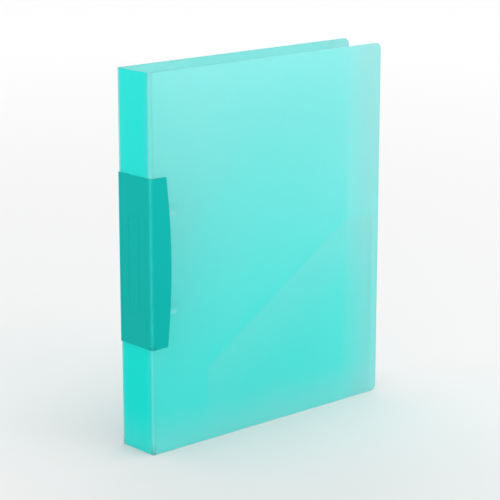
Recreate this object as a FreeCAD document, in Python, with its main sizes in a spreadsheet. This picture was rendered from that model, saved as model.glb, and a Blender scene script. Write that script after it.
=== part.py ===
"""A4 two-ring binder with a folded plastic cover, a wrap-around back band and a steel ring mechanism.

Millimetres, +Z up: the binder stands closed on its lower edges. Inside this script a point is first
given from the outer corner where the spine meets the front cover: X runs along the covers to the
fore-edge, Y from the front cover to the back cover. Every sub-part is then moved so that the origin is
the middle of the whole binder's footprint. H, in names, is the height above the back cover's inside.
"""
import FreeCAD, Part
import math
import os
import re

import Sketcher

SIZES = (
    ("cover_height", 315.0, "height of the cover sheet, for A4 pages with a margin above and below"),
    ("cover_width", 257.0, "from the spine's outer face to the fore-edge"),
    ("spine_width", 40.0, "between the outer faces of the two covers"),
    ("sheet", 0.8, "thickness of the cover sheet"),
    ("corner_radius", 6.0, "rounding of the cover corners at the fore-edge"),
    ("fold_radius", 1.2, "outer radius of a fold, whose centre is the hinge axis"),
    ("fold_web", 0.4, "thickness of the thinned sheet in a fold"),
    ("fold_flat", 1.4, "thinned stretch beside a fold, up to the full sheet"),
    ("band_thickness", 0.8, "thickness of the band that wraps the spine"),
    ("band_height", 141.0, "height of the band"),
    ("band_flat", 2.6, "thinned stretch of the band beside a fold"),
    ("band_web", 0.4, "thickness of the band in a fold"),
    ("band_gap", 0.05, "gap between the band's fold and the cover's fold"),
    ("tab_width", 16.0, "reach of the front tab over the cover, at its corners"),
    ("tab_bulge", 4.5, "how far a tab's curved edge stands out in the middle"),
    ("back_tab_width", 38.0, "reach of the back tab, which lies under the ring mechanism"),
    ("mechanism_level", 160.0, "height of the middle of the band and of the ring mechanism"),
    ("mechanism_setback", 26.0, "from the spine's outer face to the middle of the rings"),
    ("film", 0.3, "thickness of the inner pocket's film"),
    ("film_gap", 0.25, "gap between the film and the cover, where pages slide in"),
    ("weld_width", 3.0, "width of the welded rim of the pocket"),
    ("pocket_start", 59.0, "from the spine to the pocket's near side"),
    ("pocket_end", 250.0, "from the spine to the pocket's far side"),
    ("pocket_turn", 216.0, "where the slanting mouth meets its short level end"),
    ("pocket_bottom", 3.0, "height of the pocket's lower side"),
    ("pocket_low", 64.0, "height of the pocket's mouth at the near side"),
    ("pocket_high", 164.0, "height of the pocket's mouth at the far side"),
    ("ring_spacing", 80.0, "between the two rings, for pages punched with two holes"),
    ("ring_bore", 30.0, "inner diameter of a closed ring"),
    ("ring_wire", 2.8, "diameter of the ring wire"),
    ("ring_bend", 1.6, "bend of the wire where it turns down into its plate"),
    ("ring_leg", 4.0, "from the middle of the mechanism to the leg of a half ring"),
    ("ring_seat", 0.05, "straight stretch of a leg above its plate, on the pivot's side"),
    ("tip_gap", 0.04, "gap between a tip's end and the middle of the ring"),
    ("spigot_radius", 0.6, "radius of the spigot on one tip"),
    ("spigot_length", 0.9, "length of that spigot"),
    ("socket_clearance", 0.15, "room around and behind the spigot"),
    ("housing_length", 124.0, "length of the housing"),
    ("housing_steel", 0.7, "thickness of the housing's steel"),
    ("housing_rise", 6.4, "height H of the housing's crown"),
    ("housing_corner", 3.0, "rounding of the housing's four corners"),
    ("lip_sweep", 100.0, "how far below level a curled lip reaches round its pivot, in degrees"),
    ("notch_clearance", 0.8, "room on each side of the wire in the housing's notches"),
    ("notch_reach", 3.0, "from the middle of the housing to the inner end of a notch"),
    ("notch_floor", 0.15, "height of a notch's floor above the pivot"),
    ("pivot_offset", 7.4, "from the middle of the mechanism to a plate's pivot"),
    ("pivot_rise", 2.0, "height H of the pivots"),
    ("plate_steel", 0.9, "thickness of a carrier plate"),
    ("plate_gap", 0.15, "gap from a plate's inner edge to the middle when it lies level"),
    ("plate_length", 118.0, "length of a carrier plate"),
    ("pivot_clearance", 0.2, "room between a plate's rounded edge and the curled lip"),
    ("closed_tilt", 9.0, "slope of the plates when the rings are closed, in degrees"),
    ("leg_clearance", 0.15, "room between a ring leg and its hole in the plate"),
    ("leg_end", 0.25, "height H of a ring leg's end"),
    ("rivet_spacing", 104.0, "between the two rivets"),
    ("rivet_radius", 1.9, "radius of a rivet's shank"),
    ("rivet_clearance", 0.1, "room around the shank in every hole"),
    ("rivet_head_radius", 5.0, "radius of the domed head on the outside"),
    ("rivet_head_height", 1.3, "height of that head"),
    ("rivet_flare_radius", 3.0, "radius of the rolled end on the housing"),
    ("rivet_flare_height", 0.6, "height of the rolled end"),
    ("rivet_dimple_radius", 1.1, "radius of the hollow in the rolled end"),
    ("rivet_dimple_depth", 1.6, "depth of that hollow"),
    ("seat_radius", 3.8, "radius of the flat seat raised on the housing round a rivet"),
    ("spacer_radius", 3.0, "outer radius of the sleeve that holds the housing off the cover"),
    ("spacer_notch_clearance", 0.7, "room between a sleeve and the plates' notches"),
)

MIDDLE_X = "(cover_width - band_thickness) / 2"
MIDDLE_Y = "(spine_width + rivet_head_height) / 2"
INSIDE_BACK = "(spine_width - sheet)"
BAND_LOW = "(mechanism_level - band_height / 2)"
BAND_TOP = "(mechanism_level + band_height / 2)"
TAB_EDGE_RADIUS = "((band_height / 2) * (band_height / 2) + tab_bulge * tab_bulge) / (2 * tab_bulge)"
LEG_IN_PLATE = "((pivot_offset - ring_leg) / cos(closed_tilt))"
BEND_RISE = (
    "(pivot_rise - (pivot_offset - ring_leg - ring_wire / 2) * tan(closed_tilt)"
    " + plate_steel / (2 * cos(closed_tilt)) + ring_seat)"
)
RING_DROP = (
    "sqrt((ring_bore / 2 + ring_wire / 2 + ring_bend) * (ring_bore / 2 + ring_wire / 2 + ring_bend)"
    " - (ring_leg + ring_bend) * (ring_leg + ring_bend))"
)
NAMES = re.compile(r"\b(" + "|".join(name for name, _, _ in SIZES) + r")\b")


def linked(formula):
    """The formula with each size's name turned into a link to the spreadsheet."""
    return NAMES.sub(r"Sizes.\1", formula)


def make_sizes(doc):
    """Adds the spreadsheet of driving dimensions: name, value and meaning in each row."""
    sheet = doc.addObject("Spreadsheet::Sheet", "Sizes")
    for row, (name, size, meaning) in enumerate(SIZES, start=1):
        sheet.set(f"A{row}", name)
        sheet.set(f"B{row}", str(size))
        sheet.set(f"C{row}", meaning)
        sheet.setAlias(f"B{row}", name)
    doc.recompute()
    return sheet


def size_of(doc, formula):
    """The number that a formula of sizes comes to."""
    return float(doc.Sizes.evalExpression(linked(formula)))


def make_body(doc, name):
    """A PartDesign body whose label is the sub-part's name."""
    body = doc.addObject("PartDesign::Body", name)
    body.Label = name
    return body


def settle(thing, at=("0", "0", "0"), turn="0"):
    """Puts a sub-part at a point of the corner frame, turned about Z by an angle in degrees."""
    thing.setExpression("Placement.Base.x", linked(f"({at[0]}) - {MIDDLE_X}"))
    thing.setExpression("Placement.Base.y", linked(f"({at[1]}) - {MIDDLE_Y}"))
    thing.setExpression("Placement.Base.z", linked(at[2]))
    thing.Placement = FreeCAD.Placement(
        FreeCAD.Vector(0, 0, 0), FreeCAD.Rotation(FreeCAD.Vector(0, 0, 1), 1)
    )
    thing.setExpression("Placement.Rotation.Angle", linked(turn))


def origin_plane(body, role):
    """One of the body's own origin planes or axes."""
    return next(feature for feature in body.Origin.OriginFeatures if feature.Role == role)


def arc_between(start, end, radius):
    """The minor arc from start to end, its middle on the left of that way for a negative radius."""
    chord = end - start
    reach = math.sqrt(max(radius * radius - chord.Length**2 / 4, 0.0))
    across = FreeCAD.Vector(-chord.y, chord.x, 0).normalize()
    side = 1 if radius > 0 else -1
    centre = (start + end) / 2 + across * reach * side
    first, last = (start, end) if radius > 0 else (end, start)
    angles = [math.atan2(p.y - centre.y, p.x - centre.x) for p in (first, last)]
    circle = Part.Circle(centre, FreeCAD.Vector(0, 0, 1), abs(radius))
    return Part.ArcOfCircle(circle, angles[0], angles[1])


def outline(body, name, role, corners, arcs=None, lift="0"):
    """A closed sketch on one of the body's origin planes, held by the spreadsheet.

    Each corner is an (x, y) pair of formulas. arcs gives the radius of each side that is an arc, by
    the number of its first corner: positive turns to the left, negative to the right. lift moves the
    sketch along its plane's normal.
    """
    doc, arcs = body.Document, arcs or {}
    sketch = body.newObject("Sketcher::SketchObject", name)
    sketch.AttachmentSupport = [(origin_plane(body, role), "")]
    sketch.MapMode = "FlatFace"
    sketch.setExpression("AttachmentOffset.Base.z", linked(lift))
    points = [FreeCAD.Vector(size_of(doc, x), size_of(doc, y), 0) for x, y in corners]
    starts = []
    for side, (start, end) in enumerate(zip(points, points[1:] + points[:1])):
        if side in arcs:
            radius = size_of(doc, arcs[side][0]) * arcs[side][1]
            sketch.addGeometry(arc_between(start, end, radius))
            starts.append(1 if radius > 0 else 2)
        else:
            sketch.addGeometry(Part.LineSegment(start, end))
            starts.append(1)
    for side, start in enumerate(starts):
        after = (side + 1) % len(starts)
        sketch.addConstraint(
            Sketcher.Constraint("Coincident", side, 3 - start, after, starts[after])
        )
    for side, (start, point) in enumerate(zip(starts, points)):
        for kind, distance, formula in zip(
            ("DistanceX", "DistanceY"), (point.x, point.y), corners[side]
        ):
            number = sketch.addConstraint(
                Sketcher.Constraint(kind, -1, 1, side, start, distance)
            )
            sketch.setExpression(f"Constraints[{number}]", linked(formula))
        if side in arcs:
            radius = abs(size_of(doc, arcs[side][0]))
            number = sketch.addConstraint(Sketcher.Constraint("Radius", side, radius))
            sketch.setExpression(f"Constraints[{number}]", linked(arcs[side][0]))
    return sketch


def pad(body, sketch, length, symmetric=False):
    """Thickens a sketch into the body along the sketch's normal."""
    feature = body.newObject("PartDesign::Pad", sketch.Name + "Pad")
    feature.Profile = sketch
    feature.Midplane = symmetric
    feature.setExpression("Length", linked(length))
    body.Document.recompute()
    return feature


def plate(body, name, corners, near, thickness, arcs=None):
    """A flat sheet with an outline in X and Z, from Y = near to near + thickness."""
    sketch = outline(body, name, "XZ_Plane", corners, arcs, lift=f"-({near} + {thickness})")
    return pad(body, sketch, thickness)


def column(body, name, corners, low, height, arcs=None):
    """A profile in X and Y, drawn up from Z = low."""
    return pad(body, outline(body, name, "XY_Plane", corners, arcs, lift=low), height)


def box_corners(x0, y0, x1, y1):
    """The four corners of a rectangle, anticlockwise."""
    return [(x0, y0), (x1, y0), (x1, y1), (x0, y1)]


def bore_y(body, name, centres, radius):
    """Cuts round holes along Y, right through the body, at (x, z) pairs of formulas."""
    doc = body.Document
    sketch = body.newObject("Sketcher::SketchObject", name)
    sketch.AttachmentSupport = [(origin_plane(body, "XZ_Plane"), "")]
    sketch.MapMode = "FlatFace"
    for number, (x, z) in enumerate(centres):
        centre = FreeCAD.Vector(size_of(doc, x), size_of(doc, z), 0)
        wide = size_of(doc, radius)
        sketch.addGeometry(Part.Circle(centre, FreeCAD.Vector(0, 0, 1), wide))
        for kind, distance, formula in (("DistanceX", centre.x, x), ("DistanceY", centre.y, z)):
            held = sketch.addConstraint(
                Sketcher.Constraint(kind, -1, 1, number, 3, distance)
            )
            sketch.setExpression(f"Constraints[{held}]", linked(formula))
        held = sketch.addConstraint(Sketcher.Constraint("Radius", number, wide))
        sketch.setExpression(f"Constraints[{held}]", linked(radius))
    return cut_through(body, sketch)


def cut_through(body, sketch):
    """Pockets a sketch both ways through the body, and makes sure that it cut something."""
    before = body.Tip.Shape.Volume
    feature = body.newObject("PartDesign::Pocket", sketch.Name + "Cut")
    feature.Profile = sketch
    feature.Type = "ThroughAll"
    feature.Midplane = True
    body.Document.recompute()
    if feature.Shape.Volume >= before:
        raise ValueError(f"{feature.Name} cuts nothing")
    return feature


def round_fore_edge(body, radius):
    """Rounds the two corners at the far end of X, whose edges run along Y."""
    tip = body.Tip
    far = tip.Shape.BoundBox.XMax
    edges = [
        f"Edge{number}"
        for number, edge in enumerate(tip.Shape.Edges, start=1)
        if edge.BoundBox.XMin > far - 1e-4 and edge.BoundBox.ZLength < 1e-4
    ]
    fillet = body.newObject("PartDesign::Fillet", body.Name + "Corners")
    fillet.Base = (tip, edges)
    fillet.setExpression("Radius", linked(radius))
    body.Document.recompute()
    return fillet


def revolve(doc, name, profile, arcs=None):
    """A turned piece whose profile gives (radius, height along Y), standing on the corner frame."""
    body = make_body(doc, name)
    sketch = outline(body, name + "Profile", "XY_Plane", profile, arcs)
    turned = body.newObject("PartDesign::Revolution", name + "Turned")
    turned.Profile = sketch
    turned.ReferenceAxis = (sketch, ["V_Axis"])
    turned.Angle = 360
    doc.recompute()
    return body


def make_covers(doc):
    """The two covers and the spine: one folded sheet, parted at its folds."""
    edge = "(fold_radius + fold_flat)"
    rivet_levels = [f"mechanism_level {sign} rivet_spacing / 2" for sign in "-+"]
    front = make_body(doc, "front_cover")
    column(front, "FrontCoverOutline", box_corners(edge, "0", "cover_width", "sheet"), "0", "cover_height")
    round_fore_edge(front, "corner_radius")
    settle(front)
    back = make_body(doc, "back_cover")
    column(
        back,
        "BackCoverOutline",
        box_corners(edge, "spine_width - sheet", "cover_width", "spine_width"),
        "0",
        "cover_height",
    )
    round_fore_edge(back, "corner_radius")
    bore_y(
        back,
        "BackCoverRivetHoles",
        [("mechanism_setback", level) for level in rivet_levels],
        "rivet_radius + rivet_clearance",
    )
    settle(back)
    spine = make_body(doc, "spine_panel")
    column(spine, "SpineOutline", box_corners("0", edge, "sheet", f"spine_width - {edge}"), "0", "cover_height")
    settle(spine)
    return [front, back, spine]


def fold_corners(outer, inner, reach, near, flip):
    """The L-shaped profile of a fold about the hinge axis, near the front or, flipped, the back."""
    far = f"({near} + {reach})"
    corners = [
        (far, f"({near} - {outer})"),
        (near, f"({near} - {outer})"),
        (f"({near} - {outer})", near),
        (f"({near} - {outer})", far),
        (f"({near} - {inner})", far),
        (f"({near} - {inner})", near),
        (near, f"({near} - {inner})"),
        (far, f"({near} - {inner})"),
    ]
    if flip:
        corners = [(x, f"spine_width - {y}") for x, y in corners]
    side = 1 if flip else -1
    return corners, {1: (outer, side), 5: (inner, -side)}


def make_folds(doc):
    """The four thin webs that bend: two of the cover sheet and two of the band."""
    made = []
    webs = (
        ("cover_fold", "fold_radius", "(fold_radius - fold_web)", "fold_flat", "0", "cover_height"),
        (
            "band_fold",
            "(fold_radius + band_gap + band_web)",
            "(fold_radius + band_gap)",
            "band_flat",
            BAND_LOW,
            "band_height",
        ),
    )
    for name, outer, inner, reach, low, height in webs:
        for side, flip in (("front", False), ("back", True)):
            body = make_body(doc, f"{side}_{name}")
            corners, arcs = fold_corners(outer, inner, reach, "fold_radius", flip)
            column(body, body.Name + "Profile", corners, low, height, arcs)
            settle(body)
            made.append(body)
    return made


def make_band(doc):
    """The band that wraps the spine: its spine piece and the curved tab on each cover."""
    edge = "(fold_radius + band_flat)"
    spine = make_body(doc, "band_spine")
    column(
        spine,
        "BandSpineOutline",
        box_corners("-band_thickness", edge, "0", f"spine_width - {edge}"),
        BAND_LOW,
        "band_height",
    )
    settle(spine)
    made = [spine]
    for name, near, reach in (
        ("band_front_tab", "(-band_thickness)", "tab_width"),
        ("band_back_tab", "spine_width", "back_tab_width"),
    ):
        tab = make_body(doc, name)
        corners = box_corners(edge, BAND_LOW, reach, BAND_TOP)
        plate(tab, name + "Outline", corners, near, "band_thickness", {1: (TAB_EDGE_RADIUS, 1)})
        if name == "band_back_tab":
            levels = [f"mechanism_level {sign} rivet_spacing / 2" for sign in "-+"]
            bore_y(
                tab,
                "BandRivetHoles",
                [("mechanism_setback", level) for level in levels],
                "rivet_radius + rivet_clearance",
            )
        settle(tab)
        made.append(tab)
    return made


def make_pocket(doc):
    """The clear film pocket inside the front cover, welded on three sides, open along its slanting mouth."""
    body = make_body(doc, "inner_pocket")
    mouth = [
        ("pocket_start", "pocket_bottom"),
        ("pocket_end", "pocket_bottom"),
        ("pocket_end", "pocket_high"),
        ("pocket_turn", "pocket_high"),
        ("pocket_start", "pocket_low"),
    ]
    plate(body, "PocketOutline", mouth, "(sheet + film_gap)", "film")
    rim = [
        ("pocket_start", "pocket_bottom"),
        ("pocket_end", "pocket_bottom"),
        ("pocket_end", "pocket_high"),
        ("pocket_end - weld_width", "pocket_high"),
        ("pocket_end - weld_width", "pocket_bottom + weld_width"),
        ("pocket_start + weld_width", "pocket_bottom + weld_width"),
        ("pocket_start + weld_width", "pocket_low"),
        ("pocket_start", "pocket_low"),
    ]
    plate(body, "PocketRim", rim, "sheet", "(film_gap + film / 2)")
    settle(body)
    return [body]


def ring_half(doc, side):
    """A half ring's shape in the plane Z = 0: an arc of wire that turns down into its plate.

    side is -1 for the half by the spine and +1 for the half by the fore-edge.
    """
    wire = size_of(doc, "ring_wire") / 2
    radius = size_of(doc, "ring_bore") / 2 + wire
    bend, leg = size_of(doc, "ring_bend"), size_of(doc, "ring_leg")
    bend_h, drop = size_of(doc, BEND_RISE), size_of(doc, RING_DROP)
    rise = bend_h + drop
    gap, end = size_of(doc, "tip_gap"), size_of(doc, "leg_end")
    middle_x, inside = size_of(doc, "mechanism_setback"), size_of(doc, INSIDE_BACK)

    def place(offset, height):
        return FreeCAD.Vector(middle_x + side * offset, inside - height, 0)

    # The bend is a circle of its own, inside the ring's and touching it, with the leg on its flank.
    bend_x = leg + bend
    touch = radius / (radius + bend)
    joint = (bend_x * touch, rise - drop * touch)
    tip_angle = math.acos(gap / radius)
    start_angle = math.atan2(joint[1] - rise, joint[0])
    middle_angle = (tip_angle + start_angle) / 2
    arc = Part.Arc(
        place(radius * math.cos(tip_angle), rise + radius * math.sin(tip_angle)),
        place(radius * math.cos(middle_angle), rise + radius * math.sin(middle_angle)),
        place(*joint),
    )
    low_angle = math.atan2(joint[1] - bend_h, joint[0] - bend_x)
    half_angle = (low_angle + math.pi) / 2
    turn = Part.Arc(
        place(*joint),
        place(bend_x + bend * math.cos(half_angle), bend_h + bend * math.sin(half_angle)),
        place(leg, bend_h),
    )
    path = [arc.toShape(), turn.toShape()]
    if bend_h > end + 1e-6:
        path.append(Part.LineSegment(place(leg, bend_h), place(leg, end)).toShape())
    tip = place(gap, rise + math.sqrt(radius**2 - gap**2))
    heading = FreeCAD.Vector(side, 0, 0)
    circle = Part.Wire(Part.Circle(tip, heading, wire).toShape())
    half = Part.Wire(path).makePipeShell([circle], True, True)
    spigot = size_of(doc, "spigot_radius")
    reach = size_of(doc, "spigot_length")
    room = size_of(doc, "socket_clearance")
    if side > 0:
        start = place(gap + wire, rise + radius)
        peg = Part.makeCylinder(spigot, reach + gap + wire, start, FreeCAD.Vector(-side, 0, 0))
        half = half.fuse(peg)
    else:
        start = place(-reach, rise + radius)
        hole = Part.makeCylinder(spigot + room, 2 * reach + room, start, FreeCAD.Vector(side, 0, 0))
        half = half.cut(hole)
    return half.removeSplitter()


def make_rings(doc):
    """The four half rings."""
    made = []
    for level, sign in (("upper", "+"), ("lower", "-")):
        for place, side in (("spine_side", -1), ("fore_edge_side", 1)):
            feature = doc.addObject("Part::Feature", f"{level}_ring_{place}_half")
            feature.Label = feature.Name
            feature.Shape = ring_half(doc, side)
            settle(feature, at=("0", "0", f"mechanism_level {sign} ring_spacing / 2"))
            made.append(feature)
    return made


def make_plates(doc):
    """The two carrier plates: each turns about its rounded outer edge, and a ring leg stands in each hole."""
    made = []
    width = "(pivot_offset - plate_gap)"
    half = "(plate_steel / 2)"
    turns = (("spine_side", "-", "closed_tilt"), ("fore_edge_side", "+", "180 - closed_tilt"))
    for name, sign, turn in turns:
        body = make_body(doc, name + "_carrier_plate")
        corners = box_corners("0", f"-{half}", width, half) + [(f"-{half}", "0")]
        rounded = {3: (half, 1), 4: (half, 1)}
        profile = outline(body, name + "Slab", "XY_Plane", corners, rounded)
        pad(body, profile, "plate_length", symmetric=True)
        legs = [(LEG_IN_PLATE, f"{way}ring_spacing / 2") for way in ("", "-")]
        bore_y(body, name + "LegHoles", legs, "ring_wire / 2 + leg_clearance")
        seats = [("pivot_offset", f"{way}rivet_spacing / 2") for way in ("", "-")]
        bore_y(body, name + "RivetNotches", seats, "spacer_radius + spacer_notch_clearance")
        settle(
            body,
            at=(
                f"mechanism_setback {sign} pivot_offset",
                f"{INSIDE_BACK} - pivot_rise",
                "mechanism_level",
            ),
            turn=turn,
        )
        made.append(body)
    return made


def housing_profile(doc):
    """The housing's cross-section: an arch whose edges curl under round the plates' pivots."""
    rise, steel = size_of(doc, "housing_rise"), size_of(doc, "housing_steel")
    pivot_x, pivot_h = size_of(doc, "pivot_offset"), size_of(doc, "pivot_rise")
    curl_in = size_of(doc, "plate_steel / 2 + pivot_clearance")
    curl_out = curl_in + steel
    lip = math.radians(size_of(doc, "lip_sweep"))
    crown = rise - curl_out
    centre_h = (crown**2 - pivot_x**2 - pivot_h**2) / (2 * (crown - pivot_h))
    arch_out = rise - centre_h
    lean = math.atan2(pivot_h - centre_h, pivot_x)

    def round_pivot(radius, angle, side):
        return FreeCAD.Vector(
            side * (pivot_x + radius * math.cos(angle)), -(pivot_h + radius * math.sin(angle)), 0
        )

    def top(radius):
        return FreeCAD.Vector(0, -(centre_h + radius), 0)

    edges = []
    for side in (1, -1):
        middle = (lean - lip) / 2
        for radius in (curl_out, curl_in):
            edges.append(
                Part.Arc(
                    round_pivot(radius, lean, side),
                    round_pivot(radius, middle, side),
                    round_pivot(radius, -lip, side),
                ).toShape()
            )
        edges.append(
            Part.LineSegment(
                round_pivot(curl_out, -lip, side), round_pivot(curl_in, -lip, side)
            ).toShape()
        )
    for radius, arch in ((curl_out, arch_out), (curl_in, arch_out - steel)):
        edges.append(
            Part.Arc(
                round_pivot(radius, lean, -1), top(arch), round_pivot(radius, lean, 1)
            ).toShape()
        )
    return Part.Face(Part.Wire(Part.__sortEdges__(edges)))


def make_housing(doc):
    """The arched steel housing, with a notch for each half ring and a seat for each rivet.

    Its own frame has the middle of its length at Z = 0 and the back cover's inside at Y = 0.
    """
    length, steel = size_of(doc, "housing_length"), size_of(doc, "housing_steel")
    rise, wire = size_of(doc, "housing_rise"), size_of(doc, "ring_wire")
    wide = size_of(doc, "pivot_offset + plate_steel / 2 + pivot_clearance + housing_steel")
    shell = housing_profile(doc).extrude(FreeCAD.Vector(0, 0, length))
    shell.translate(FreeCAD.Vector(0, 0, -length / 2))
    corner = size_of(doc, "housing_corner")
    blank = Part.makeBox(2 * wide, 2 * rise, length, FreeCAD.Vector(-wide, -2 * rise, -length / 2))
    upright = [edge for edge in blank.Edges if edge.BoundBox.YLength > 1.9 * rise]
    shell = shell.common(blank.makeFillet(corner, upright))
    reach = size_of(doc, "notch_reach")
    floor = size_of(doc, "pivot_rise + notch_floor")
    notch = wire + 2 * size_of(doc, "notch_clearance")
    spacing = size_of(doc, "ring_spacing")
    for level in (-spacing / 2, spacing / 2):
        for side in (-1, 1):
            start = reach if side > 0 else -2 * wide
            corner_at = FreeCAD.Vector(start, -2 * rise, level - notch / 2)
            shell = shell.cut(Part.makeBox(2 * wide - reach, 2 * rise - floor, notch, corner_at))
    hole = size_of(doc, "rivet_radius + rivet_clearance")
    down = FreeCAD.Vector(0, 1, 0)
    for level in (-size_of(doc, "rivet_spacing / 2"), size_of(doc, "rivet_spacing / 2")):
        top, under = FreeCAD.Vector(0, -rise, level), FreeCAD.Vector(0, steel - rise, level)
        shell = shell.fuse(Part.makeCylinder(size_of(doc, "seat_radius"), steel, top, down))
        # The sleeve stands flat under the seat, where the arch would curve into it.
        sleeve = size_of(doc, "spacer_radius + rivet_clearance")
        shell = shell.cut(Part.makeCylinder(sleeve, rise - steel, under, down))
        bore = Part.makeCylinder(hole, 2 * rise, FreeCAD.Vector(0, -2 * rise, level), down)
        shell = shell.cut(bore)
    feature = doc.addObject("Part::Feature", "ring_housing")
    feature.Label = feature.Name
    feature.Shape = shell.removeSplitter()
    settle(feature, at=("mechanism_setback", INSIDE_BACK, "mechanism_level"))
    return [feature]


def make_rivets(doc):
    """The two rivets, and the two sleeves that hold the housing off the back cover."""
    made = []
    dome = "((rivet_head_radius * rivet_head_radius + rivet_head_height * rivet_head_height)"
    dome += " / (2 * rivet_head_height))"
    # Heights are above the back cover's inside, towards the housing.
    shank_top = "(housing_rise + rivet_flare_height)"
    profile = [
        ("0", "-(sheet + band_thickness + rivet_head_height)"),
        ("rivet_head_radius", "-(sheet + band_thickness)"),
        ("rivet_radius", "-(sheet + band_thickness)"),
        ("rivet_radius", "housing_rise"),
        ("rivet_flare_radius", "housing_rise"),
        ("rivet_flare_radius", f"{shank_top} - rivet_flare_height / 2"),
        ("rivet_dimple_radius + 0.3", shank_top),
        ("rivet_dimple_radius", shank_top),
        ("rivet_dimple_radius", f"{shank_top} - rivet_dimple_depth"),
        ("0", f"{shank_top} - rivet_dimple_depth"),
    ]
    for level, sign in (("upper", "+"), ("lower", "-")):
        rivet = revolve(doc, f"{level}_rivet", profile, {0: (dome, 1)})
        sleeve = revolve(
            doc,
            f"{level}_rivet_sleeve",
            box_corners("rivet_radius + rivet_clearance", "0", "spacer_radius", "housing_rise - housing_steel"),
        )
        for piece in (rivet, sleeve):
            settle(
                piece,
                at=("mechanism_setback", INSIDE_BACK, f"mechanism_level {sign} rivet_spacing / 2"),
                turn="180",
            )
            made.append(piece)
    return made


def check_and_write(doc, pieces):
    """Stops if anything failed to build, then writes each sub-part to its own STEP file."""
    doc.recompute()
    failed = [o.Name for o in doc.Objects if "Invalid" in o.State or "Error" in o.State]
    if failed:
        raise ValueError(f"these did not build: {failed}")
    os.makedirs("parts", exist_ok=True)
    for piece in pieces:
        shape = piece.Shape
        if shape.isNull() or not shape.isValid() or not shape.Solids:
            raise ValueError(f"{piece.Label} is not a valid solid")
        shape.exportStep(os.path.join("parts", piece.Label + ".step"))
        print(f"{piece.Label}: {len(shape.Solids)} solid, {shape.Volume:.1f} mm3")


def main():
    """Builds the whole binder and writes its sub-parts."""
    doc = FreeCAD.newDocument("RingBinder")
    make_sizes(doc)
    pieces = make_covers(doc) + make_folds(doc) + make_band(doc) + make_pocket(doc)
    pieces += make_housing(doc) + make_plates(doc) + make_rings(doc) + make_rivets(doc)
    check_and_write(doc, pieces)


main()
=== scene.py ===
"""Looks of an A4 ring binder: frosted plastic covers, a teal band round the spine and steel rings.

Sizes in the classes are in millimetres from the outer corner where the spine meets the front cover: X runs
along the covers to the fore-edge, Y from the front cover to the back cover, Z up.
"""

import logging
import math
from dataclasses import dataclass, replace
from enum import Enum
from typing import Any, Iterable, Sequence

import bmesh
import bpy
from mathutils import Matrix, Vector


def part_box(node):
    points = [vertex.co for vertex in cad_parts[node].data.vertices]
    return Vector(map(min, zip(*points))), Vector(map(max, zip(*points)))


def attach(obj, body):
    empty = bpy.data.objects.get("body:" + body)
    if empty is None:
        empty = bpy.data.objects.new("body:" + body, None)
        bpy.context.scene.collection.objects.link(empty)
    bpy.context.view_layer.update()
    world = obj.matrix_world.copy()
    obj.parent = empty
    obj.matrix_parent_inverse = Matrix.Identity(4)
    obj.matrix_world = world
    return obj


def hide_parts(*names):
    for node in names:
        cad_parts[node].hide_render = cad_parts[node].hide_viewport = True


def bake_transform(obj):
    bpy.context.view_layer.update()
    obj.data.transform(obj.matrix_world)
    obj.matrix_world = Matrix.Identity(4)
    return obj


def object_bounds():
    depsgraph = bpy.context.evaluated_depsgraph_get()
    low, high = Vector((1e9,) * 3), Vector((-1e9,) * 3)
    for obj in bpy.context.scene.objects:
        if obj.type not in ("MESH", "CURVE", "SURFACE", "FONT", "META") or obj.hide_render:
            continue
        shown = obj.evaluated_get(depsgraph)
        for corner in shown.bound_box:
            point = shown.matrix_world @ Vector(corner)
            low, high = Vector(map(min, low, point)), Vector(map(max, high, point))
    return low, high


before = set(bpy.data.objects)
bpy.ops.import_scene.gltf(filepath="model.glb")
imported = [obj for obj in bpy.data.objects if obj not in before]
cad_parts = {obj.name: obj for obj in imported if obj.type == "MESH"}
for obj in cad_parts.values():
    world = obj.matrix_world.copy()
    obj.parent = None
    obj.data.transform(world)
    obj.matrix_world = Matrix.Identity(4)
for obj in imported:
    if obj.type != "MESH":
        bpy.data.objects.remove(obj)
CAD_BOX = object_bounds()

LOG = logging.getLogger("ring_binder")
MM = 0.001
SAME_PLACE = 1e-6
SHARP_EDGE = math.radians(40)
FLAT_FACE = 0.98
CORNER = Vector((-0.1281, -0.02065, 0.0))
Colour = tuple[float, float, float]
Section = list[tuple[float, float]]


def at(x: float, y: float, z: float) -> Vector:
    """A point given in millimetres from the outer corner of the spine and the front cover.

    Args:
        x: Distance from the spine's outer face towards the fore-edge.
        y: Distance from the front cover's outer face towards the back cover.
        z: Height above the lower edges.

    Returns:
        The point in metres in the row frame.
    """
    return CORNER + Vector((x, y, z)) * MM


class Body(str, Enum):
    """The rigid bodies of the binder."""

    BACK = "back"
    SPINE = "spine"
    FRONT = "front"
    SPINE_JAW = "spine_side_jaw"
    FORE_JAW = "fore_edge_side_jaw"


class Slot(str, Enum):
    """The record's material slots."""

    COVER = "cover_sheet"
    BAND = "band_sheet"
    FILM = "pocket_film"
    PLATED = "plated_steel"
    PLATE = "plate_steel"
    RIVET = "rivet_steel"


# ---------------------------------------------------------------- shader helpers


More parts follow.
